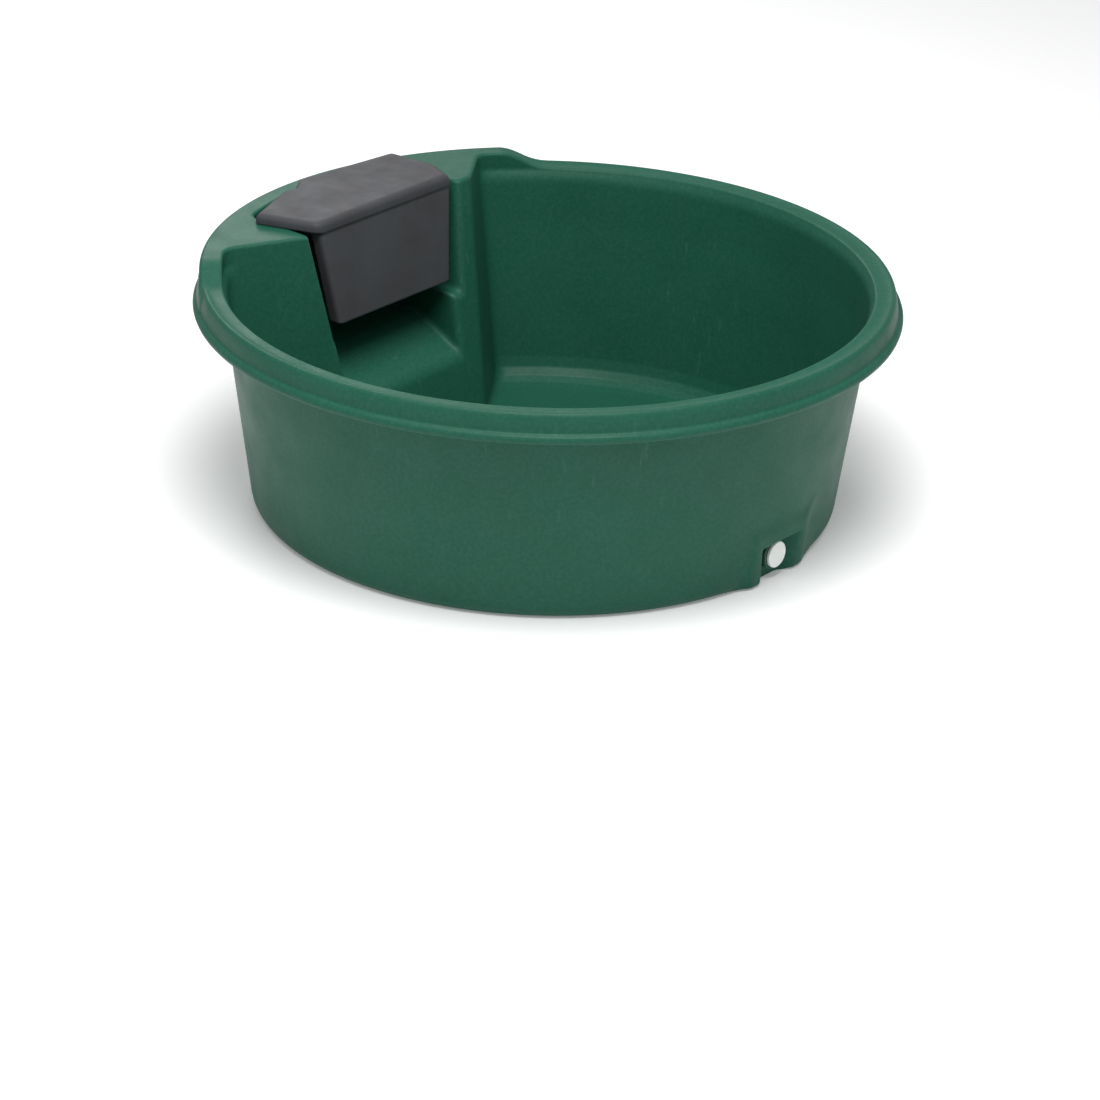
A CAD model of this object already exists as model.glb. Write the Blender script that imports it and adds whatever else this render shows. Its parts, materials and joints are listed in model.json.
"""Looks of the livestock water trough: moulded skins, valve details, materials, light and camera.

The moulded pieces are modelled as distance fields, so that every corner gets its own fillet,
and each field is turned into a mesh of quads.  Metres, +Z up, in the frame's own axes.
"""
import itertools
import json
import math

import bpy
import numpy as np
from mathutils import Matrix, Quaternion, Vector


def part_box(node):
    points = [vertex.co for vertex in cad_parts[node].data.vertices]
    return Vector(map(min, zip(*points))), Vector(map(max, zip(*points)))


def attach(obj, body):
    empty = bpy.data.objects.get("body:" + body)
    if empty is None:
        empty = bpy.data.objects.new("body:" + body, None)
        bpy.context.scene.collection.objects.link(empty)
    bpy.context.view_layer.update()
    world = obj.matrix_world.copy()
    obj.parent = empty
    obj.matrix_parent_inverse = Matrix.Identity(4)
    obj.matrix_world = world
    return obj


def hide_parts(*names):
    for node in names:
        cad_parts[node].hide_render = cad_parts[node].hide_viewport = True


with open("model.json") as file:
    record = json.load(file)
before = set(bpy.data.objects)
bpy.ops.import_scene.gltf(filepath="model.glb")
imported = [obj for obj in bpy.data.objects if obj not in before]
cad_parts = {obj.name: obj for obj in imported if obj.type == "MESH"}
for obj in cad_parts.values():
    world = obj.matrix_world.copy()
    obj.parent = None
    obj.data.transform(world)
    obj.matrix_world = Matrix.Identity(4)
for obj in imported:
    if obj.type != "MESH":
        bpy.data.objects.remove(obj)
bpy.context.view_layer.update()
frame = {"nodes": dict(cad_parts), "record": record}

# ---------------------------------------------------------------- driving dimensions
TUB_LOW, TUB_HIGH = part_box("tub")
R = (TUB_HIGH.x - TUB_LOW.x) / 2
SKIN = 0.0062
BASE_R = 0.834 * R
WALL_TOP_R = 0.912 * R
WALL_TOP_Z = 0.585 * R
RIM_Z = 0.665 * R
RIM_INNER_R = 0.916 * R
PLATEAU_Z = TUB_HIGH.z
PLATEAU_R = 0.980 * R
PLATEAU_FLAT_DEG = 41.0
PLATEAU_RAMP_DEG = 51.0
FLOOR_Z = 0.0068
DRAFT = math.tan(math.radians(13.0))
BAY_FRONT_Y = 0.626 * R
PILLAR_SLOPE_LEFT = 0.477
PILLAR_SLOPE_RIGHT = 0.68
PILLAR_STRIP = 0.062 * R
MOUTH_LEFT = 0.302 * R
MOUTH_RIGHT = 0.326 * R
LEDGE_RIGHT = 0.272 * R
LEDGE_Z = 0.390 * R
THROAT_TOP_RIGHT = 0.237 * R
THROAT_LOW = 0.228 * R
SHELF_FRONT_Z = 0.215 * R
SHELF_BACK_Z = 0.300 * R
SHELF_BREAK_Y = 0.684 * R
MOUTH_BACK_Y = 0.845 * R
ROOF_Z = 0.650 * R

# The widths given to smooth_max, smooth_min and meet are fillet widths, in metres.
# A scale beside a field turns a distance along y or z into one square to a sloping face.
FACE_SCALE = 0.86
SHELF_SCALE = 0.90
FRONT_SCALE = 0.97
PLATEAU_FOOT_R = 0.984 * R
PLATEAU_FOOT_Z = 0.60 * R
RAMP_SINK = 0.012              # the ramps end this far below the rim's crest
POCKET_RIM_R = 0.955 * R
POCKET_RIM_Z = 0.572 * R
POCKET_HALF_WIDTH = 0.45 * R
POCKET_FLARE = 0.05 * R        # added half width at the plateau's height
POCKET_TOP_Z = PLATEAU_Z - 0.0085
POCKET_FOOT_Z = 0.010
PILLAR_FACE_SKIN = SKIN * 1.12
PILLAR_SIDE_SKIN = SKIN * 1.15
SHELF_FACE_SKIN = SKIN * 1.05
SHELF_TOP_SKIN = 0.0100
SHELF_SIDE_SKIN = 0.003
FRONT_ZONE_Y = -0.50           # the drain's shapes all lie in front of this
TUB_STEPS_AROUND = 1080        # 3.5 mm apart at the rear hollows, whose skins are 7 mm thick
TUB_REACH = 0.0015


# ---------------------------------------------------------------- distance fields
def smooth_max(a, b, soft):
    """Intersection of two fields with a fillet about soft wide."""
    overlap = np.clip(soft - np.abs(a - b), 0.0, None)
    return np.maximum(a, b) + overlap * overlap * (0.25 / soft)


def smooth_min(a, b, soft):
    return -smooth_max(-a, -b, soft)


def meet(soft, *fields):
    result = fields[0]
    for field in fields[1:]:
        result = smooth_max(result, field, soft)
    return result


def between(value, low, high):
    return np.maximum(low - value, value - high)


def rounded_outline(corners, steps=5):
    """Closed outline from (u, v, soft) corners; rounding starts soft away from a corner."""
    points = []
    count = len(corners)
    for i, (u, v, soft) in enumerate(corners):
        here = np.array((u, v))
        if soft == 0.0:
            points.append(here)
            continue
        before = np.array(corners[i - 1][:2]) - here
        after = np.array(corners[(i + 1) % count][:2]) - here
        start = here + before * soft / np.linalg.norm(before)
        end = here + after * soft / np.linalg.norm(after)
        for t in np.linspace(0.0, 1.0, steps):
            points.append(start * (1 - t) ** 2 + here * 2 * t * (1 - t) + end * t * t)
    return np.array(points, np.float32)


def outline_distance(u, v, outline):
    """Signed distance to a closed outline, negative inside."""
    best = np.full(np.broadcast(u, v).shape, 1e9, np.float32)
    inside = np.zeros(best.shape, bool)
    for (au, av), (bu, bv) in zip(outline, np.roll(outline, -1, axis=0)):
        eu, ev = bu - au, bv - av
        length = eu * eu + ev * ev
        if length < 1e-14:
            continue
        share = np.clip(((u - au) * eu + (v - av) * ev) / length, 0.0, 1.0)
        best = np.minimum(best, (u - au - share * eu) ** 2 + (v - av - share * ev) ** 2)
        if ev != 0.0:
            inside ^= ((av > v) != (bv > v)) & (u < au + (v - av) * (eu / ev))
    return np.where(inside, -np.sqrt(best), np.sqrt(best))


# ---------------------------------------------------------------- from a field to a mesh
def net_corners(values, cells):
    """Mean of the edge crossings of each cell, in grid steps."""
    total = np.zeros(cells.shape, np.float32)
    hits = np.zeros(len(cells), np.float32)
    for axis in range(3):
        step = np.eye(3, dtype=int)[axis]
        others = [np.eye(3, dtype=int)[(axis + n) % 3] for n in (1, 2)]
        for first, second in itertools.product((0, 1), repeat=2):
            start = cells + first * others[0] + second * others[1]
            a = values[tuple(start.T)]
            b = values[tuple((start + step).T)]
            crossed = (a < 0) != (b < 0)
            share = np.where(crossed, a / np.where(crossed, a - b, 1.0), 0.0)
            total += (start + share[:, None] * step) * crossed[:, None]
            hits += crossed
    return total / hits[:, None]


def surface_net(values, wrap=False):
    """Corners, in grid steps, and quads of the surface where the values change sign."""
    if wrap:
        values = np.concatenate([values, values[:, :1]], axis=1)
    inside = values < 0
    shape = tuple(n - 1 for n in values.shape)
    count = np.zeros(shape, np.int8)
    for a, b, c in itertools.product((0, 1), repeat=3):
        count += inside[a:a + shape[0], b:b + shape[1], c:c + shape[2]]
    active = (count > 0) & (count < 8)
    cells = np.argwhere(active)
    index = np.full(shape, -1, np.int32)
    index[active] = np.arange(len(cells))
    quads = []
    for axis in range(3):
        step = np.eye(3, dtype=int)[axis]
        first, second = (axis + 1) % 3, (axis + 2) % 3
        near = [slice(None)] * 3
        far = [slice(None)] * 3
        near[axis] = slice(None, -1)
        far[axis] = slice(1, None)
        nodes = np.argwhere(inside[tuple(near)] != inside[tuple(far)])
        keep = np.ones(len(nodes), bool)
        for other in (first, second):
            if wrap and other == 1:
                keep &= nodes[:, other] < shape[other]
            else:
                keep &= (nodes[:, other] > 0) & (nodes[:, other] < shape[other])
        nodes = nodes[keep]
        ring = []
        for a, b in ((1, 1), (0, 1), (0, 0), (1, 0)):
            cell = nodes.copy()
            cell[:, first] -= a
            cell[:, second] -= b
            if wrap:
                cell[:, 1] %= shape[1]
            ring.append(index[tuple(cell.T)])
        ring = np.stack(ring, axis=1)
        outward = inside[tuple(nodes.T)]
        quads.append(np.where(outward[:, None], ring, ring[:, ::-1]))
    return net_corners(values, cells), np.concatenate(quads)


def settle(points, field, reach, rounds=2):
    """Move points onto the field's zero level, along its slope, by at most reach a round."""
    settled = []
    h = 0.0002
    for part in np.array_split(points.astype(np.float64), len(points) // 20000 + 1):
        for _ in range(rounds):
            x, y, z = part.T
            value = field(x, y, z)
            slope = np.stack([(field(x + h, y, z) - field(x - h, y, z)),
                              (field(x, y + h, z) - field(x, y - h, z)),
                              (field(x, y, z + h) - field(x, y, z - h))], axis=1) / (2 * h)
            size = np.maximum((slope * slope).sum(axis=1), 0.05)
            move = -slope * (value / size)[:, None]
            length = np.linalg.norm(move, axis=1)
            part = part + move * np.minimum(1.0, reach / np.maximum(length, 1e-9))[:, None]
        settled.append(part)
    return np.concatenate(settled)


def new_piece(name, points, faces, body, nodes, mat):
    """A mesh that rides on a body and stands in for the CAD nodes named."""
    mesh = bpy.data.meshes.new(name)
    mesh.from_pydata(points, [], faces)
    mesh.shade_smooth()
    obj = bpy.data.objects.new(name, mesh)
    bpy.context.scene.collection.objects.link(obj)
    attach(obj, body)
    if nodes:
        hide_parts(*nodes)
    mesh.materials.append(mat)
    return obj


def moulded(name, field, low, high, cell, body, nodes, mat):
    """One piece from a field inside a box, on a square grid."""
    axes = [np.arange(a - 1.5 * cell, b + 2.5 * cell, cell, dtype=np.float32)
            for a, b in zip(low, high)]
    x, y, z = axes[0][:, None, None], axes[1][None, :, None], axes[2][None, None, :]
    values = np.broadcast_to(field(x, y, z), tuple(len(a) for a in axes)).astype(np.float32)
    corners, quads = surface_net(values)
    points = np.stack([np.interp(corners[:, i], np.arange(len(a)), a)
                       for i, a in enumerate(axes)], axis=1)
    points = settle(points, field, 0.5 * cell)
    return new_piece(name, points.tolist(), quads.tolist(), body, nodes, mat)


# ---------------------------------------------------------------- materials
def colour(red, green, blue):
    """Linear colour from screen values between 0 and 255."""
    def linear(v):
        v /= 255.0
        return v / 12.92 if v <= 0.04045 else ((v + 0.055) / 1.055) ** 2.4
    return (linear(red), linear(green), linear(blue), 1.0)


class Shader:
    """Short-hand for wiring a material's nodes."""

    def __init__(self, name):
        self.made = bpy.data.materials.new(name)
        self.made.use_nodes = True
        self.nodes = self.made.node_tree.nodes
        self.links = self.made.node_tree.links
        self.surface = self.nodes["Principled BSDF"]
        self.place = self.nodes.new("ShaderNodeTexCoord").outputs["Object"]

    def wire(self, value, socket):
        if isinstance(value, bpy.types.NodeSocket):
            self.links.new(value, socket)
        else:
            socket.default_value = value

    def node(self, kind, inputs=None, **settings):
        made = self.nodes.new("ShaderNode" + kind)
        for key, value in settings.items():
            setattr(made, key, value)
        for key, value in (inputs or {}).items():
            self.wire(value, made.inputs[key])
        return made

    def noise(self, scale, detail=4.0, roughness=0.55, stretch=(1, 1, 1)):
        place = self.node("Mapping", {"Vector": self.place, "Scale": stretch}).outputs["Vector"]
        made = self.node("TexNoise", {"Vector": place, "Scale": scale, "Detail": detail,
                                      "Roughness": roughness})
        return made.outputs["Fac"]

    def ramp(self, value, start, end, low=0.0, high=1.0):
        made = self.node("MapRange", {"Value": value, "From Min": start, "From Max": end,
                                      "To Min": low, "To Max": high})
        return made.outputs["Result"]

    def mix(self, share, first, second):
        made = self.node("Mix", data_type="RGBA")
        self.wire(share, made.inputs["Factor"])
        self.wire(first, made.inputs["A"])
        self.wire(second, made.inputs["B"])
        return made.outputs["Result"]

    def math(self, operation, first, second=0.0):
        made = self.node("Math", operation=operation)
        self.wire(first, made.inputs[0])
        self.wire(second, made.inputs[1])
        return made.outputs[0]

    def edge(self, start=0.52, end=0.62):
        """1 on outward edges of a fine mesh, 0 on flats."""
        return self.ramp(self.nodes.new("ShaderNodeNewGeometry").outputs["Pointiness"], start, end)

    def bump(self, height, distance, strength=1.0, normal=None):
        made = self.node("Bump", {"Height": height, "Distance": distance, "Strength": strength})
        if normal:
            self.links.new(normal, made.inputs["Normal"])
        return made.outputs["Normal"]

    def finish(self, base, roughness, normal, **others):
        self.wire(base, self.surface.inputs["Base Color"])
        self.wire(roughness, self.surface.inputs["Roughness"])
        self.wire(normal, self.surface.inputs["Normal"])
        for key, value in others.items():
            self.wire(value, self.surface.inputs[key.replace("_", " ")])
        return self.made


PEEL_DEPTH = 0.00006
PEEL_SCALE = 420.0
SCUFF_SHARE = 0.5
WORN_EDGE = (0.52, 0.60)       # pointiness where rubbing starts and where it is full


def moulded_plastic(name, base, dark, worn, rough, specular, fine=1.0):
    """Roto-moulded polyethylene: faint cloudiness, orange-peel skin, rubbed edges and light scuffs."""
    s = Shader(name)
    cloud = s.ramp(s.noise(5.0 * fine, 3.0), 0.35, 0.70)
    speck = s.ramp(s.noise(140.0 * fine, 3.0), 0.40, 0.65)
    body = s.mix(cloud, dark, base)
    body = s.mix(s.math("MULTIPLY", speck, 0.04), body, worn)
    scratch = s.ramp(s.noise(70.0 * fine, 6.0, 0.7, (1.0, 1.0, 0.10)), 0.60, 0.72)
    patch = s.ramp(s.noise(3.2 * fine, 2.0), 0.50, 0.72)
    rubbed = s.math("MULTIPLY", s.math("MULTIPLY", scratch, patch), SCUFF_SHARE)
    uneven = s.ramp(s.noise(26.0 * fine, 5.0), 0.30, 0.62, 0.35, 1.0)
    wear = s.math("MULTIPLY", s.edge(*WORN_EDGE), uneven)
    body = s.mix(s.math("MULTIPLY", rubbed, 0.35), body, worn)
    body = s.mix(s.math("MULTIPLY", wear, 0.55), body, worn)
    roughness = s.ramp(s.noise(11.0 * fine, 4.0), 0.30, 0.70, rough - 0.06, rough + 0.07)
    roughness = s.math("ADD", roughness, s.math("MULTIPLY", rubbed, 0.12))
    peel = s.bump(s.noise(PEEL_SCALE, 2.0), PEEL_DEPTH, 1.0)
    normal = s.bump(s.noise(22.0 * fine, 2.0), 0.0008 / fine, 0.30, peel)
    return s.finish(body, roughness, normal, Specular_IOR_Level=specular)


def brushed_steel(name):
    """Stainless steel with fine turning marks and dull patches."""
    s = Shader(name)
    marks = s.noise(900.0, 3.0, 0.6, (1.0, 1.0, 0.15))
    dull = s.ramp(s.noise(120.0, 4.0), 0.40, 0.70)
    tone = s.mix(dull, colour(196, 194, 188), colour(150, 148, 143))
    tone = s.mix(s.math("MULTIPLY", s.edge(), 0.5), tone, colour(225, 224, 220))
    roughness = s.ramp(marks, 0.30, 0.70, 0.20, 0.38)
    return s.finish(tone, roughness, s.bump(marks, 0.00005, 0.6), Metallic=1.0)


# ---------------------------------------------------------------- the tub's field
def wall_outer_r(z):
    return BASE_R + (WALL_TOP_R - BASE_R) * z / WALL_TOP_Z


# Turned outlines of the tub, as (radius, height, fillet).
OUTER_PROFILE = rounded_outline([
    (-0.10, RIM_Z - 0.0022, 0), (0.905 * R, RIM_Z - 0.0022, 0), (0.930 * R, RIM_Z - 0.0050, 0.008),
    (0.950 * R, RIM_Z - 0.0046, 0.008), (0.9685 * R, RIM_Z + 0.0006, 0.0045),
    (0.9765 * R, RIM_Z - 0.0055, 0.004), (0.9810 * R, 0.640 * R, 0.006),
    (0.9845 * R, 0.6110 * R, 0.0035), (0.9950 * R, 0.6065 * R, 0.0030),
    (1.0005 * R, 0.5965 * R, 0.0035), (0.9965 * R, 0.5845 * R, 0.0030),
    (0.9850 * R, 0.5830 * R, 0.0030), (0.9730 * R, 0.5920 * R, 0.004),
    (0.9690 * R, 0.6400 * R, 0.006), (0.9580 * R, 0.6490 * R, 0.005),
    (0.9300 * R, 0.6460 * R, 0.008), (0.9160 * R, 0.6280 * R, 0.008),
    (WALL_TOP_R, WALL_TOP_Z, 0.020), (wall_outer_r(0.020 * R), 0.020 * R, 0.012),
    (0.815 * R, 0.0, 0.010), (-0.10, 0.0, 0),
])
INNER_PROFILE = rounded_outline([
    (-0.10, 0.90 * R, 0), (RIM_INNER_R, 0.90 * R, 0), (RIM_INNER_R, 0.6540 * R, 0.004),
    (wall_outer_r(WALL_TOP_Z) - SKIN, 0.6300 * R, 0.010),
    (wall_outer_r(0.50 * R) - SKIN, 0.50 * R, 0.02), (wall_outer_r(0.0) - SKIN, FLOOR_Z, 0.050),
    (-0.10, FLOOR_Z, 0),
])


def front_y(z):
    return BAY_FRONT_Y - (PLATEAU_Z - z) * DRAFT


def recess_side(z, mouth):
    return THROAT_LOW + (mouth - THROAT_LOW) * z / PLATEAU_Z


def beyond_left(x, z):
    """How far a place lies to the left of the recess."""
    return -x - recess_side(z, MOUTH_LEFT)


def beyond_right(x, z):
    return x - recess_side(z, MOUTH_RIGHT)


def pillar_y(x, z):
    left = smooth_max(beyond_left(x, z), 0.0 * x, 0.008) * PILLAR_SLOPE_LEFT
    right = smooth_max(beyond_right(x, z) - PILLAR_STRIP, 0.0 * x, 0.010) * PILLAR_SLOPE_RIGHT
    return front_y(z) + left + right


def shelf_z(y):
    """The shelf slopes up from the bay's front, then runs level."""
    rise = (SHELF_BACK_Z - SHELF_FRONT_Z) / (SHELF_BREAK_Y - front_y(SHELF_FRONT_Z))
    slope = SHELF_FRONT_Z + (y - front_y(SHELF_FRONT_Z)) * rise
    return smooth_min(slope, SHELF_BACK_Z + 0.0 * y, 0.012)


def recess_field(x, y, z):
    """The float bay: a wide part above the right ledge, and a throat down to the shelf."""
    above, below = PLATEAU_Z - LEDGE_Z, LEDGE_Z - SHELF_FRONT_Z
    upper_right = LEDGE_RIGHT + (MOUTH_RIGHT - LEDGE_RIGHT) * (z - LEDGE_Z) / above
    throat_right = THROAT_LOW + (THROAT_TOP_RIGHT - THROAT_LOW) * (z - SHELF_FRONT_Z) / below
    left = beyond_left(x, z)
    roof = smooth_min(y - MOUTH_BACK_Y, z - ROOF_Z, 0.006)
    upper = meet(0.012, left, x - upper_right, LEDGE_Z - z, roof)
    throat = meet(0.014, left, x - throat_right, (shelf_z(y) - z) * SHELF_SCALE)
    return smooth_min(upper, throat, 0.007)


def pocket_field(x, y, z, r):
    """Hollows of the pillars and of the shelf, open to the outside at the back."""
    face = (pillar_y(x, z) + PILLAR_FACE_SKIN - y) * FACE_SCALE
    lip = smooth_min(r - POCKET_RIM_R, z - POCKET_RIM_Z, 0.004)
    outer_side = np.abs(x) - (POCKET_HALF_WIDTH + POCKET_FLARE * z / PLATEAU_Z)
    inner_side = PILLAR_SIDE_SKIN - np.maximum(beyond_left(x, z), beyond_right(x, z))
    pillar = meet(0.010, face, lip, outer_side, inner_side, z - POCKET_TOP_Z, POCKET_FOOT_Z - z)
    shelf_top = (z - shelf_z(y) + SHELF_TOP_SKIN) * SHELF_SCALE
    shelf_face = (front_y(z) + SHELF_FACE_SKIN - y) * FRONT_SCALE
    sides = np.maximum(beyond_left(x, z) + SHELF_SIDE_SKIN, x - THROAT_LOW + SHELF_SIDE_SKIN)
    shelf = meet(0.010, shelf_face, shelf_top, sides, POCKET_FOOT_Z - z)
    return np.minimum(pillar, shelf)


def plateau_field(x, y, z, r):
    """Raised arc of the rim above the bay, ramping down at both ends."""
    degrees = np.abs(np.degrees(np.arctan2(x, y)))
    rise = np.clip((PLATEAU_RAMP_DEG - degrees) / (PLATEAU_RAMP_DEG - PLATEAU_FLAT_DEG), 0.0, 1.0)
    rise = rise * rise * (3.0 - 2.0 * rise)
    top = PLATEAU_Z - (1.0 - rise) * (PLATEAU_Z - RIM_Z + RAMP_SINK)
    ends = (degrees - PLATEAU_RAMP_DEG) * math.radians(1.0) * r
    widening = (PLATEAU_FOOT_R - PLATEAU_R) * (PLATEAU_Z - z) / (PLATEAU_Z - PLATEAU_FOOT_Z)
    return meet(0.010, z - top, r - (PLATEAU_R + widening), PLATEAU_FOOT_Z - z, ends)


# ---------------------------------------------------------------- places taken from the frame
PAD_CENTRE = (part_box("inner_seal")[0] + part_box("inner_seal")[1]) / 2
WALL_FACE_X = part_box("inner_seal")[0].x - 0.0003
VALVE_Y = PAD_CENTRE.y
VALVE_Z = PAD_CENTRE.z
PAD_R = 0.048
PAD_T = 0.008
PAD_DEPTH = 0.028
PAD_BACK_R = PAD_R - 0.006
PAD_BACK_DEPTH = 0.10
THREAD_HOLE_R = 0.0166 + 0.0008
SOCKET_LOW, SOCKET_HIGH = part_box("drain_socket")
DRAIN_Z = (SOCKET_LOW.z + SOCKET_HIGH.z) / 2
DRAIN_SEAT_Y = SOCKET_LOW.y
NOTCH_Y = -0.5660
DRAIN_BOSS_R = 0.0312
SOCKET_R = (SOCKET_HIGH.z - SOCKET_LOW.z) / 2
NOTCH_HALF_WIDTH = 0.029
NOTCH_TOP_Z = 0.084
NOTCH_SLANT = 0.707            # the notch's sides open at 45 degrees
BLOCK_HALF_WIDTH = 0.066
BLOCK_T = 0.022
BLOCK_FOOT_Z = 0.002
BLOCK_TOP_Z = 0.095
BLOCK_INSET = 0.0030           # keeps the block behind the wall's outer face
BOSS_ROOT = 0.004
DRAIN_PANEL_T = 0.0035
DRAIN_PANEL_TOP_Z = 0.112
DRAIN_PANEL_RIGHT = 0.077
DRAIN_PANEL_LEFT = -0.079
# Each bevel's slope, as its shares across the panel and square to it.
TOP_BEVEL = (0.45, 0.89)
RIGHT_BEVEL = (0.40, 0.92)
LEFT_BEVEL = (0.55, 0.83)


def tub_field(x, y, z, profiles=None):
    """Outside less water space, pockets and bores; profiles may be worked out beforehand."""
    r = np.hypot(x, y)
    if profiles is None:
        profiles = outline_distance(r, z, OUTER_PROFILE), outline_distance(r, z, INNER_PROFILE)
    outside, inside = profiles
    outside = smooth_min(outside, plateau_field(x, y, z, r), 0.012)
    outside = smooth_min(outside, drain_panel_field(x, y, z), 0.006)
    recess = recess_field(x, y, z)
    block = smooth_max((pillar_y(x, z) - y) * FACE_SCALE, -recess, 0.016)
    water = smooth_max(inside, -block, 0.022)
    tub = smooth_max(outside, -water, 0.007)
    tub = smooth_max(tub, -pocket_field(x, y, z, r), 0.005)
    pad_r = np.hypot(y - VALVE_Y, z - VALVE_Z)
    pad = meet(0.004, pad_r - PAD_R, between(x, WALL_FACE_X - PAD_DEPTH, WALL_FACE_X))
    pad_back = meet(0.004, pad_r - PAD_BACK_R,
                    between(x, WALL_FACE_X - PAD_BACK_DEPTH, WALL_FACE_X - PAD_T))
    tub = smooth_min(tub, pad, 0.006)
    tub = smooth_max(tub, -pad_back, 0.003)
    hole = meet(0.001, pad_r - THREAD_HOLE_R, between(x, WALL_FACE_X - 0.06, WALL_FACE_X + 0.02))
    tub = smooth_max(tub, -hole, 0.0012)
    return drain_place(tub, x, y, z)


def drain_place(tub, x, y, z):
    """Adds the inward block behind the drain, and cuts the flared notch and the drain's bore."""
    side = np.abs(x)
    within_wall = np.hypot(x, y) - wall_outer_r(z) + BLOCK_INSET
    block = meet(0.012, side - BLOCK_HALF_WIDTH, y - NOTCH_Y - BLOCK_T, within_wall,
                 between(z, BLOCK_FOOT_Z, BLOCK_TOP_Z))
    tub = smooth_min(tub, meet(0.002, block, y - FRONT_ZONE_Y), 0.008)
    flare = (side - NOTCH_HALF_WIDTH - (NOTCH_Y - y)) * NOTCH_SLANT
    tub = smooth_max(tub, -meet(0.006, flare, y - NOTCH_Y, z - NOTCH_TOP_Z), 0.004)
    hole = meet(0.001, np.hypot(x, z - DRAIN_Z) - (SOCKET_R + 0.0003), between(y, -0.66, FRONT_ZONE_Y))
    return smooth_max(smooth_max(tub, -hole, 0.0008), -z, 0.001)


def drain_boss_field(x, y, z):
    """Round boss that the plug seals on; too fine for the tub's own mesh."""
    r = np.hypot(x, z - DRAIN_Z)
    return meet(0.0008, between(r, SOCKET_R + 0.0004, DRAIN_BOSS_R),
                between(y, DRAIN_SEAT_Y, NOTCH_Y + BOSS_ROOT))


def drain_panel_field(x, y, z):
    """Flat raised panel around the drain, with wide bevels down to the round wall."""
    proud = -y - wall_outer_r(z) - DRAIN_PANEL_T
    top = (z - DRAIN_PANEL_TOP_Z) * TOP_BEVEL[0] + proud * TOP_BEVEL[1]
    right = (x - DRAIN_PANEL_RIGHT) * RIGHT_BEVEL[0] + proud * RIGHT_BEVEL[1]
    left = (DRAIN_PANEL_LEFT - x) * LEFT_BEVEL[0] + proud * LEFT_BEVEL[1]
    return meet(0.004, proud, top, left, right, 0.004 - z, y - FRONT_ZONE_Y)


def build_tub(mat):
    """The tub's field on a grid that follows its roundness and is finest at the rim."""
    def axis(*spans):
        parts = [np.arange(start, end, step) for start, end, step in spans]
        return np.concatenate(parts).astype(np.float32)

    radii = axis((0.30 * R, 0.44 * R, 0.0070), (0.44 * R, 0.905 * R, 0.0031),
                 (0.905 * R, 1.010 * R, 0.0017))
    heights = axis((-0.0045, 0.0300, 0.0021), (0.0300, 0.4000, 0.0042),
                   (0.4000, PLATEAU_Z + 0.008, 0.0017))
    angles = (np.arange(TUB_STEPS_AROUND) * 2 * math.pi / TUB_STEPS_AROUND).astype(np.float32)
    r2, z2 = radii[:, None], heights[None, :]
    profiles = tuple(outline_distance(r2, z2, profile)[:, None, :]
                     for profile in (OUTER_PROFILE, INNER_PROFILE))
    x = radii[:, None, None] * np.cos(angles)[None, :, None]
    y = radii[:, None, None] * np.sin(angles)[None, :, None]
    values = tub_field(x, y, heights[None, None, :], profiles)
    corners, quads = surface_net(values.astype(np.float32), wrap=True)
    r = np.interp(corners[:, 0], np.arange(len(radii)), radii)
    z = np.interp(corners[:, 2], np.arange(len(heights)), heights)
    angle = corners[:, 1] * 2 * math.pi / TUB_STEPS_AROUND
    points = np.stack([r * np.cos(angle), r * np.sin(angle), z], axis=1)
    points = settle(points, tub_field, TUB_REACH)
    faces = quads.tolist() + floor_discs(points, corners)
    return new_piece("moulded_tub", points.tolist(), faces, "trough", ["tub"], mat)


def floor_discs(points, corners):
    """The flat middle of the floor, above and below, inside the grid's first ring."""
    first = np.flatnonzero(corners[:, 0] < 1.0)
    discs = []
    for upper in (True, False):
        ring = first[(points[first, 2] > FLOOR_Z / 2) == upper]
        ring = ring[np.argsort(corners[ring, 1])]
        discs.append(ring.tolist() if upper else ring[::-1].tolist())
    return discs


# ---------------------------------------------------------------- cover
COVER_LOW, COVER_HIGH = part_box("float_cover")
COVER_TOP = COVER_HIGH.z
COVER_SIT = PLATEAU_Z + 0.0003
COVER_WALL = 0.005
PANEL_LOW = COVER_LOW.z
PANEL_TOP = COVER_TOP - 0.006
PANEL_FORWARD = -0.001         # panel face ahead of the pillars, so it runs into the slab's front wall
PANEL_DEPTH = 0.030
PANEL_LEFT = 0.250 * R
PANEL_LEFT_FLARE = 0.018 * R
PANEL_RIGHT = 0.232 * R
PANEL_RIGHT_FLARE = 0.066 * R
PANEL_SCALE = 0.974
SLAB_LEAN = 0.10
OPEN_BELOW = 0.2               # carries a hollow out through the open underside
# Slab corners in shares of R, anticlockwise from the front left; the right part is deeper.
COVER_CORNERS = [(-0.281, 0.622, 0.014), (0.289, 0.624, 0.012), (0.336, 0.714, 0.012),
                 (0.324, 0.885, 0.012), (-0.041, 0.926, 0.006), (-0.104, 0.881, 0.004),
                 (-0.139, 0.892, 0.004), (-0.347, 0.812, 0.014)]
COVER_OUTLINE = rounded_outline([(u * R, v * R, soft) for u, v, soft in COVER_CORNERS])


def slab_shape(x, y, z, low):
    """The flat slab on the plateau, its sides leaning in, down to a given height."""
    lean = (z - COVER_SIT) * SLAB_LEAN
    sides = outline_distance(x, y, COVER_OUTLINE) + lean
    slab = meet(0.013, sides, z - COVER_TOP + 0.0 * x)
    return smooth_max(slab, low - z, 0.003)


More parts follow.
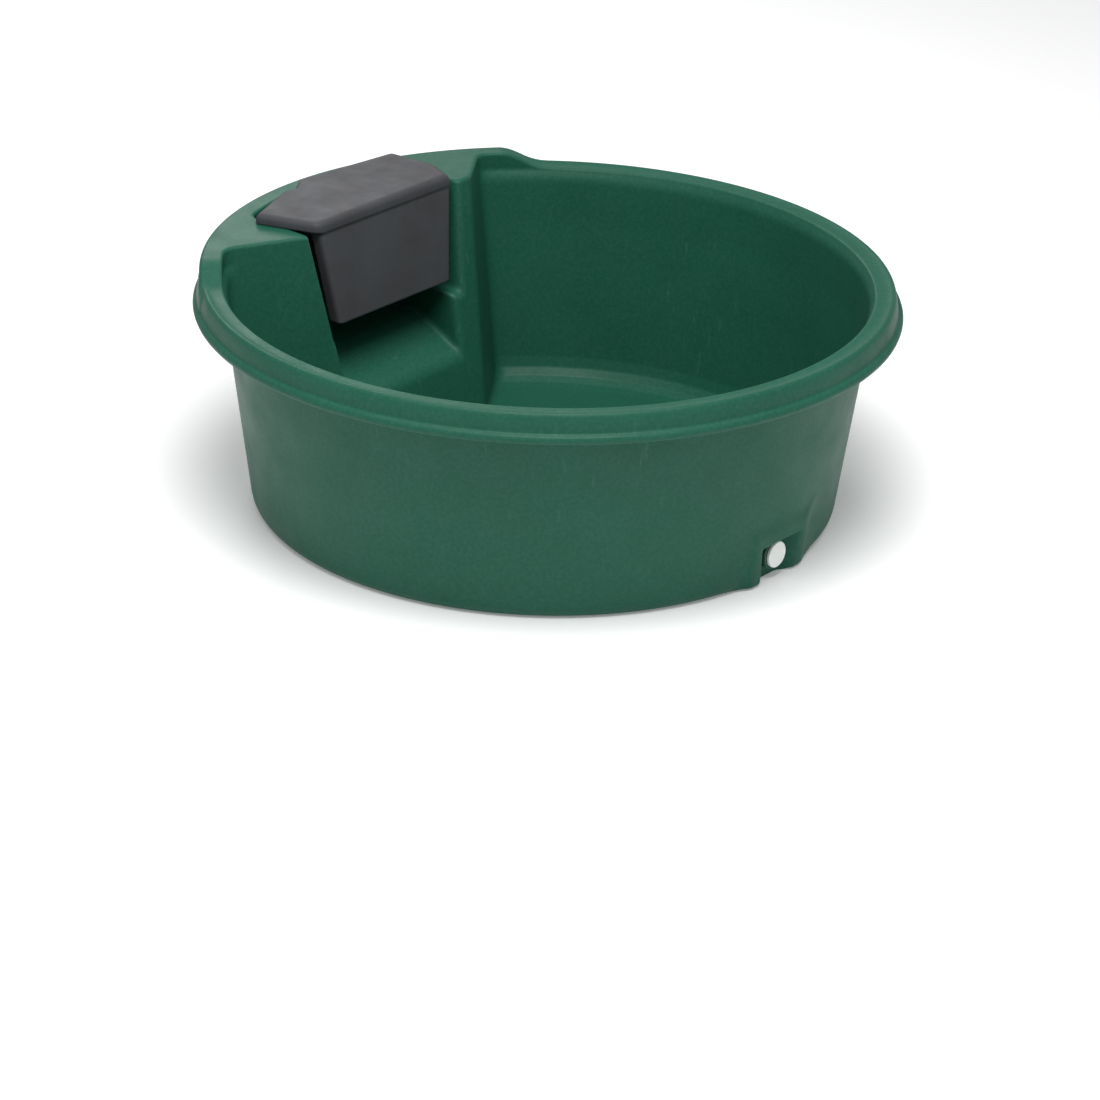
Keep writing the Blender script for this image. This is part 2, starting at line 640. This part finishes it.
def panel_shape(x, y, z, low, depth):
    """The panel that closes the bay's front, wider at the top, of a given depth."""
    share = (z - PANEL_LOW) / (PLATEAU_Z - PANEL_LOW)
    left = -PANEL_LEFT - PANEL_LEFT_FLARE * share - x
    right = x - PANEL_RIGHT - PANEL_RIGHT_FLARE * share
    face = front_y(z) + PANEL_FORWARD
    panel = meet(0.012, left, right, (face - y) * PANEL_SCALE, z - PANEL_TOP)
    return meet(0.003, panel, low - z, (y - face - depth) * PANEL_SCALE)


def cover_field(x, y, z):
    """The slab and the panel are hollowed on their own, and then joined."""
    slab = slab_shape(x, y, z, COVER_SIT)
    slab_hollow = slab_shape(x, y, z, COVER_SIT - OPEN_BELOW) + COVER_WALL
    slab = smooth_max(slab, -slab_hollow, 0.003)
    panel = panel_shape(x, y, z, PANEL_LOW, PANEL_DEPTH)
    panel_hollow = panel_shape(x, y, z, PANEL_LOW - OPEN_BELOW, 2 * PANEL_DEPTH) + COVER_WALL
    panel = smooth_max(panel, -panel_hollow, 0.003)
    return smooth_min(slab, panel, 0.008)


# ---------------------------------------------------------------- float valve
PITCH = 0.00231                # 11 threads to the inch
THREAD_DEPTH = 0.0011
OUTLET_AT = (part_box("valve_body")[0].z, WALL_FACE_X + 0.0656)
OUTLET_R = 0.0210
OUTLET_BORE_R = 0.0155
CHAMBER_R = 0.0270
BLEED_X = WALL_FACE_X + 0.0669
BLEED_BOSS_R = 0.0058
BLEED_BORE_R = 0.0030
CAP_RIBS = 18
RIB_HALF_WIDTH = 0.0029
BALL_LOW, BALL_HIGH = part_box("float_ball")
BALL_R = (BALL_HIGH.y - BALL_LOW.y) / 2
BALL_AT = Vector((BALL_HIGH.x - BALL_R, VALVE_Y, BALL_LOW.z + BALL_R))
BOLT_LOW, BOLT_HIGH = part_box("float_bolt")
BOLT_AT = (BOLT_LOW + BOLT_HIGH) / 2
BOLT_AT.y = VALVE_Y
EYE_R = 0.0105
LUG_HALF_WIDTH = 0.0085
FORK_HALF_GAP = 0.0045
BOLT_HOLE_R = 0.0033


def groove(along, angle, start, end):
    """Depth of a screw thread's groove at each place, fading out at both ends."""
    wave = 0.5 - 0.5 * np.cos(2 * math.pi * along / PITCH - angle)
    fade = np.clip(np.minimum(along - start, end - along) / PITCH, 0.0, 1.0)
    return THREAD_DEPTH * wave * fade


def about_valve(x, y, z):
    """Place along the valve's axis, distance from it and angle round it."""
    return x - WALL_FACE_X, np.hypot(y - VALVE_Y, z - VALVE_Z), np.arctan2(z - VALVE_Z, y - VALVE_Y)


TAIL_OUTLINE = rounded_outline([
    (-0.069, 0.0125, 0.0004), (0.0290, 0.0125, 0.0004), (0.0290, 0.0205, 0.0008),
    (0.0200, 0.0205, 0.0004), (0.0200, 0.0230, 0.0008), (0.0078, 0.0230, 0.0010),
    (0.0078, 0.0285, 0.0008), (0.0030, 0.0285, 0.0008), (0.0030, 0.0166, 0.0004),
    (-0.069, 0.0166, 0.0012),
])
BODY_OUTLINE = rounded_outline([
    (0.0490, 0.0270, 0), (0.0990, 0.0270, 0), (0.0990, 0.0328, 0.0006), (0.0900, 0.0328, 0.0004),
    (0.0900, 0.0353, 0.0010), (0.0825, 0.0353, 0.0010), (0.0820, 0.0335, 0.0010),
    (0.0550, 0.0335, 0.0080), (0.0455, 0.0265, 0.0030), (0.0455, 0.0225, 0.0010),
    (0.0391, 0.0225, 0.0006), (0.0391, 0.0175, 0), (0.0343, 0.0175, 0), (0.0343, 0.0200, 0),
    (0.0320, 0.0200, 0), (0.0320, 0.0125, 0), (0.0490, 0.0125, 0),
])
CAP_OUTLINE = rounded_outline([
    (0.1152, 0.0208, 0.0006), (0.1152, 0.0330, 0.0020), (0.1100, 0.0380, 0.0020),
    (0.0907, 0.0380, 0.0010), (0.0907, 0.0331, 0.0004), (0.1045, 0.0331, 0.0004),
    (0.1045, 0.0208, 0.0004),
])


def tail_field(x, y, z):
    """Inlet tail with its flange and a real thread where it passes the wall."""
    along, r, angle = about_valve(x, y, z)
    cut_in = groove(along, angle, -0.069, 0.0025)
    thread = np.where(r > 0.0145, r + cut_in, r)
    return outline_distance(along, thread, TAIL_OUTLINE) * 0.75


def body_field(x, y, z):
    """Valve housing: turned body, threaded outlet below and bleed boss above."""
    along, r, _ = about_valve(x, y, z)
    body = outline_distance(along, r, BODY_OUTLINE)
    low, centre = OUTLET_AT
    drop_r = np.hypot(x - centre, y - VALVE_Y)
    angle = np.arctan2(y - VALVE_Y, x - centre)
    wall = drop_r + groove(z - low, angle, -0.002, 0.0270) - OUTLET_R
    outlet = meet(0.001, wall * 0.75, between(z, low, VALVE_Z - 0.0280))
    bleed_r = np.hypot(x - BLEED_X, y - VALVE_Y)
    boss = meet(0.001, bleed_r - BLEED_BOSS_R, between(z, VALVE_Z + 0.0300, VALVE_Z + 0.0344))
    body = smooth_min(smooth_min(body, outlet, 0.003), boss, 0.001)
    bore = meet(0.0005, drop_r - OUTLET_BORE_R, between(z, low - 0.01, VALVE_Z - 0.0200))
    bleed = meet(0.0003, bleed_r - BLEED_BORE_R, between(z, VALVE_Z + 0.0200, VALVE_Z + 0.0400))
    chamber = np.maximum(r - CHAMBER_R, between(along, 0.0490, 0.0995))
    body = smooth_max(smooth_max(body, -bore, 0.0006), -bleed, 0.0004)
    return np.maximum(body, -chamber)


def cap_field(x, y, z):
    """Cap nut with finger ribs around it."""
    along, r, angle = about_valve(x, y, z)
    shell = outline_distance(along, r, CAP_OUTLINE)
    step = 2 * math.pi / CAP_RIBS
    across = r * np.sin(np.mod(angle - math.pi / 2 + step / 2, step) - step / 2)
    rib = meet(0.0018, np.abs(across) - RIB_HALF_WIDTH, between(r, 0.0360, 0.0410),
               between(along, 0.0910, 0.1112))
    return smooth_min(shell, rib, 0.0016)


def ball_field(x, y, z):
    """Moulded ball; its forked lug reaches up to the bolt."""
    ball = np.sqrt((x - BALL_AT.x) ** 2 + (y - BALL_AT.y) ** 2 + (z - BALL_AT.z) ** 2) - BALL_R
    along = (BALL_AT - BOLT_AT).normalized()
    a = (x - BOLT_AT.x) * along.x + (z - BOLT_AT.z) * along.z
    b = (x - BOLT_AT.x) * along.z - (z - BOLT_AT.z) * along.x
    eye = np.hypot(a, b) - EYE_R
    web = meet(0.002, np.abs(b) - EYE_R - np.clip(a, 0.0, None) * 0.12, between(a, 0.0, 0.010))
    lug = meet(0.0020, np.minimum(eye, web), np.abs(y - VALVE_Y) - LUG_HALF_WIDTH)
    ball = smooth_min(ball, lug, 0.004)
    slot_end = (BALL_AT - BOLT_AT).length - BALL_R - 0.0010
    slot = meet(0.0006, np.abs(y - VALVE_Y) - FORK_HALF_GAP, a - slot_end)
    hole = np.hypot(a, b) - BOLT_HOLE_R
    return smooth_max(smooth_max(ball, -slot, 0.0008), -hole, 0.0005)


SOFT_EDGE = 0.0004
SOFT_EDGE_DEG = 40


def finish_cad(node, mat):
    """A small piece keeps its CAD shape, with soft edges and its own finish."""
    obj = frame["nodes"][node]
    obj.data.materials.clear()
    obj.data.materials.append(mat)
    soft = obj.modifiers.new("soft_edges", "BEVEL")
    soft.width = SOFT_EDGE
    soft.segments = 2
    soft.limit_method = "ANGLE"
    soft.angle_limit = math.radians(SOFT_EDGE_DEG)


# ---------------------------------------------------------------- stage, light and camera
FLOOR_SIZE = 60.0
FLOOR_GLOW = 0.15              # lifts the floor to the even white of a studio sheet
WORLD_STRENGTH = 0.42
LIGHT_AIM = Vector((0.0, 0.1, 0.25))
LENS_MM = 137.77
SENSOR_MM = 36.0
CAMERA_PLACE = Vector((-8.5493, -6.9975, 4.98457)) * R
CAMERA_FORWARD = Vector((0.70225, 0.57219, -0.42361))
CAMERA_ROLL_DEG = 1.6


def build_stage():
    """Pale floor that every piece stands on."""
    bpy.ops.mesh.primitive_plane_add(size=FLOOR_SIZE)
    floor = bpy.context.object
    floor.name = "studio_floor"
    s = Shader("studio_floor")
    tone = s.mix(s.noise(0.6, 2.0), colour(250, 251, 251), colour(253, 253, 253))
    grain = s.bump(s.noise(60.0, 2.0), 0.0004, 0.2)
    floor.data.materials.append(s.finish(tone, 0.85, grain, Emission_Color=(1.0, 1.0, 1.0, 1.0),
                                         Emission_Strength=FLOOR_GLOW))


def area_light(name, place, size, energy):
    """Round soft light, aimed near the middle of the trough."""
    light = bpy.data.lights.new(name, "AREA")
    light.shape = "DISK"
    light.size = size
    light.energy = energy
    obj = bpy.data.objects.new(name, light)
    obj.location = place
    obj.rotation_euler = (LIGHT_AIM - Vector(place)).to_track_quat("-Z", "Y").to_euler()
    bpy.context.scene.collection.objects.link(obj)


def build_light():
    bpy.context.scene.view_settings.view_transform = "Standard"
    world = bpy.data.worlds.new("studio")
    bpy.context.scene.world = world
    world.use_nodes = True
    background = world.node_tree.nodes["Background"]
    background.inputs["Color"].default_value = (1.0, 1.0, 1.0, 1.0)
    background.inputs["Strength"].default_value = WORLD_STRENGTH
    area_light("top_light", (-1.2, -1.0, 4.5), 3.0, 215.0)
    area_light("back_light", (1.9, 2.9, 2.2), 1.6, 25.0)


def build_camera():
    """Camera at the photograph's place: a long lens, slightly rolled, aimed below the trough."""
    data = bpy.data.cameras.new("camera")
    data.lens = LENS_MM
    data.sensor_width = SENSOR_MM
    camera = bpy.data.objects.new("camera", data)
    roll = Quaternion((0.0, 0.0, 1.0), math.radians(CAMERA_ROLL_DEG))
    turn = CAMERA_FORWARD.to_track_quat("-Z", "Y") @ roll
    camera.location = CAMERA_PLACE
    camera.rotation_euler = turn.to_euler()
    bpy.context.scene.collection.objects.link(camera)
    bpy.context.scene.camera = camera


green = moulded_plastic("green_polyethylene", colour(27, 86, 68), colour(25, 82, 64),
                        colour(118, 166, 150), rough=0.50, specular=0.20)
charcoal = moulded_plastic("charcoal_polyethylene", colour(68, 70, 74), colour(62, 62, 65),
                           colour(118, 118, 121), rough=0.55, specular=0.22, fine=2.0)
black = moulded_plastic("black_nylon", colour(38, 36, 37), colour(29, 28, 30), colour(92, 88, 86),
                        rough=0.40, specular=0.40, fine=6.0)
blue = moulded_plastic("glossy_blue", colour(38, 94, 176), colour(31, 80, 162), colour(120, 168, 218),
                       rough=0.24, specular=0.60, fine=5.0)
white = moulded_plastic("white_plastic", colour(246, 250, 248), colour(238, 243, 240),
                        colour(248, 248, 246), rough=0.42, specular=0.40, fine=6.0)
rubber = moulded_plastic("seal_rubber", colour(26, 27, 28), colour(19, 20, 21), colour(64, 64, 64),
                         rough=0.75, specular=0.20, fine=8.0)
steel = brushed_steel("stainless_steel")

build_tub(green)
cover = moulded("moulded_cover", cover_field, COVER_LOW, COVER_HIGH, 0.0024, "cover", ["float_cover"],
                charcoal)
boss = moulded("drain_boss", drain_boss_field, (-DRAIN_BOSS_R, DRAIN_SEAT_Y, DRAIN_Z - DRAIN_BOSS_R),
               (DRAIN_BOSS_R, NOTCH_Y + BOSS_ROOT, DRAIN_Z + DRAIN_BOSS_R), 0.0008, "trough", (), green)
# Name, field, CAD node replaced, cell size, body, material and its slot.
VALVE_PIECES = [
    ("threaded_tail", tail_field, "inlet_tail", 0.00075, "trough", black, "valve_black"),
    ("valve_housing", body_field, "valve_body", 0.00085, "trough", black, "valve_black"),
    ("ribbed_cap", cap_field, "cap_nut", 0.00080, "trough", blue, "float_blue"),
    ("moulded_float", ball_field, "float_ball", 0.00140, "float", blue, "float_blue"),
]
for piece_name, field, node, cell, body, mat, slot_name in VALVE_PIECES:
    low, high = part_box(node)
    moulded(piece_name, field, low, high, cell, body, [node], mat)
FINISHES = {"valve_black": black, "float_blue": blue, "drain_white": white, "inner_white": white,
            "stainless": steel, "seal_rubber": rubber}
REPLACED = {"tub", "float_cover"} | {piece[2] for piece in VALVE_PIECES}
for part in frame["record"]["subparts"]:
    if part["node"] not in REPLACED:
        finish_cad(part["node"], FINISHES[part["material_slot"]])
build_stage()
build_light()
build_camera()
